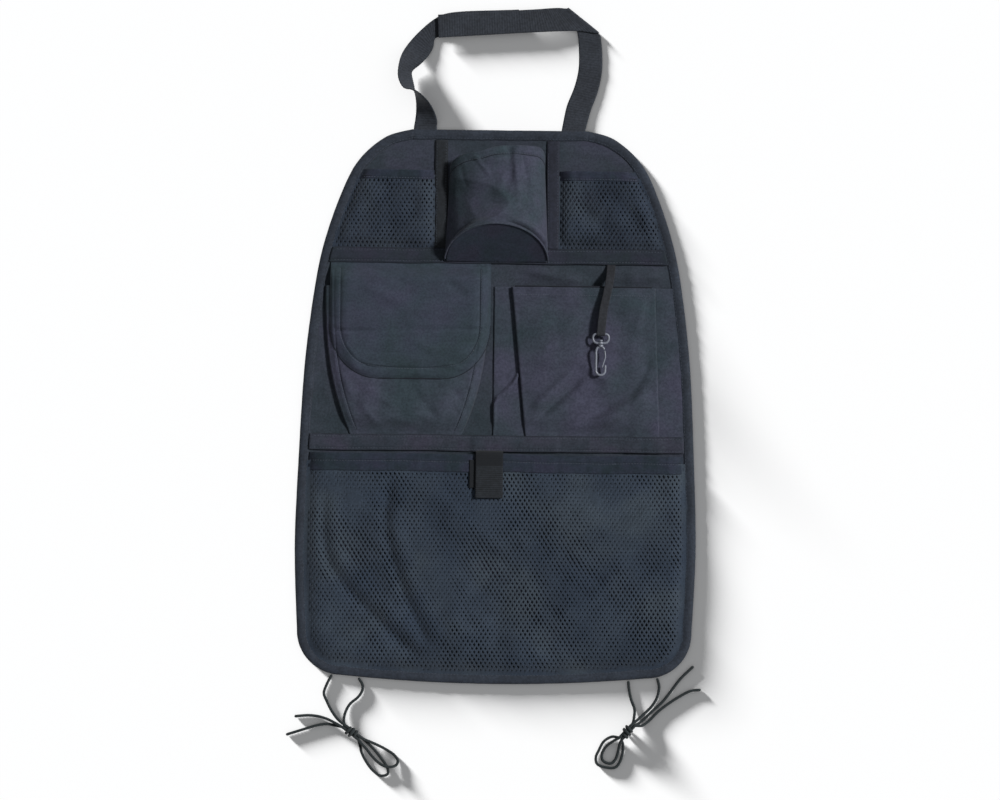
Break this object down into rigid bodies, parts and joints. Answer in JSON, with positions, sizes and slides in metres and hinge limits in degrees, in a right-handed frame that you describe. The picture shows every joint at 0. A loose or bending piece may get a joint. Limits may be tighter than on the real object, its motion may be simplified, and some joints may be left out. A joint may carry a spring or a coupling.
{
  "type": "car seat back organizer",
  "caption": "Hanging cloth organizer for the back of a car seat, with net, flap and bellows pockets, a bottle holder, a key clip, a headrest strap and ties.",
  "frame": {"origin": "centre of the underside of the box round everything but the ties", "axes": "+Y up the panel towards the headrest strap, +X to the right seen from the pocket side, +Z out of the pocket side"},
  "size_m": [0.4482, 0.8332, 0.0439],
  "materials": {
    "panel_cloth": "plain woven cloth, matt",
    "pocket_cloth": "plain woven cloth, matt",
    "net": "knitted net, matt",
    "binding_tape": "woven tape, matt",
    "webbing": "ribbed webbing, matt",
    "hook_and_loop": "hook and loop pile",
    "cord": "braided cord, matt",
    "clip_plastic": "satin"
  },
  "bodies": {
    "organizer": {"back_panel": "panel_cloth", "bottle_holder_base": "panel_cloth", "upper_seam_band": "pocket_cloth", "lower_seam_band": "pocket_cloth", "bottle_holder_wall": "pocket_cloth", "flap_pocket_body": "pocket_cloth", "flap": "pocket_cloth", "pleated_pocket": "pocket_cloth", "left_net_pocket": "net", "right_net_pocket": "net", "large_net_pocket": "net", "edge_binding": "binding_tape", "left_net_hem": "binding_tape", "right_net_hem": "binding_tape", "large_net_hem": "binding_tape", "left_divider_tape": "binding_tape", "right_divider_tape": "binding_tape", "strap_left": "webbing", "strap_right": "webbing", "closure_tab": "webbing", "key_ribbon": "webbing", "flap_hook_tape": "hook_and_loop", "flap_loop_tape": "hook_and_loop", "closure_hook_patch": "hook_and_loop", "closure_loop_patch": "hook_and_loop", "strap_hook_patch": "hook_and_loop", "strap_loop_patch": "hook_and_loop", "left_tie_inner_leg": "cord", "left_tie_outer_leg": "cord", "left_tie_inner_loop": "cord", "left_tie_outer_loop": "cord", "left_tie_inner_tail": "cord", "left_tie_outer_tail": "cord", "right_tie_inner_leg": "cord", "right_tie_outer_leg": "cord", "right_tie_inner_loop": "cord", "right_tie_outer_loop": "cord", "right_tie_inner_tail": "cord", "right_tie_outer_tail": "cord", "left_tie_knot": "cord", "right_tie_knot": "cord"},
    "eye": {"clip_eye": "clip_plastic"},
    "hook": {"clip_hook": "clip_plastic"},
    "gate": {"clip_gate": "clip_plastic"}
  },
  "joints": [
    {"name": "clip_swing", "type": "hinge", "parent": "organizer", "child": "eye", "pos_m": [0.111, 0.01287, 0.0178], "axis": [-1, 0, 0], "range_deg": [0, 140]},
    {"name": "clip_swivel", "type": "hinge", "parent": "eye", "child": "hook", "pos_m": [0.111, 0.00087, 0.0178], "axis": [0, 1, 0], "continuous": true},
    {"name": "gate_flex", "type": "hinge", "parent": "hook", "child": "gate", "pos_m": [0.1153, -0.00583, 0.0178], "axis": [0, 0, -1], "range_deg": [0, 15], "stiffness_Nm_per_rad": 0.02}
  ]
}
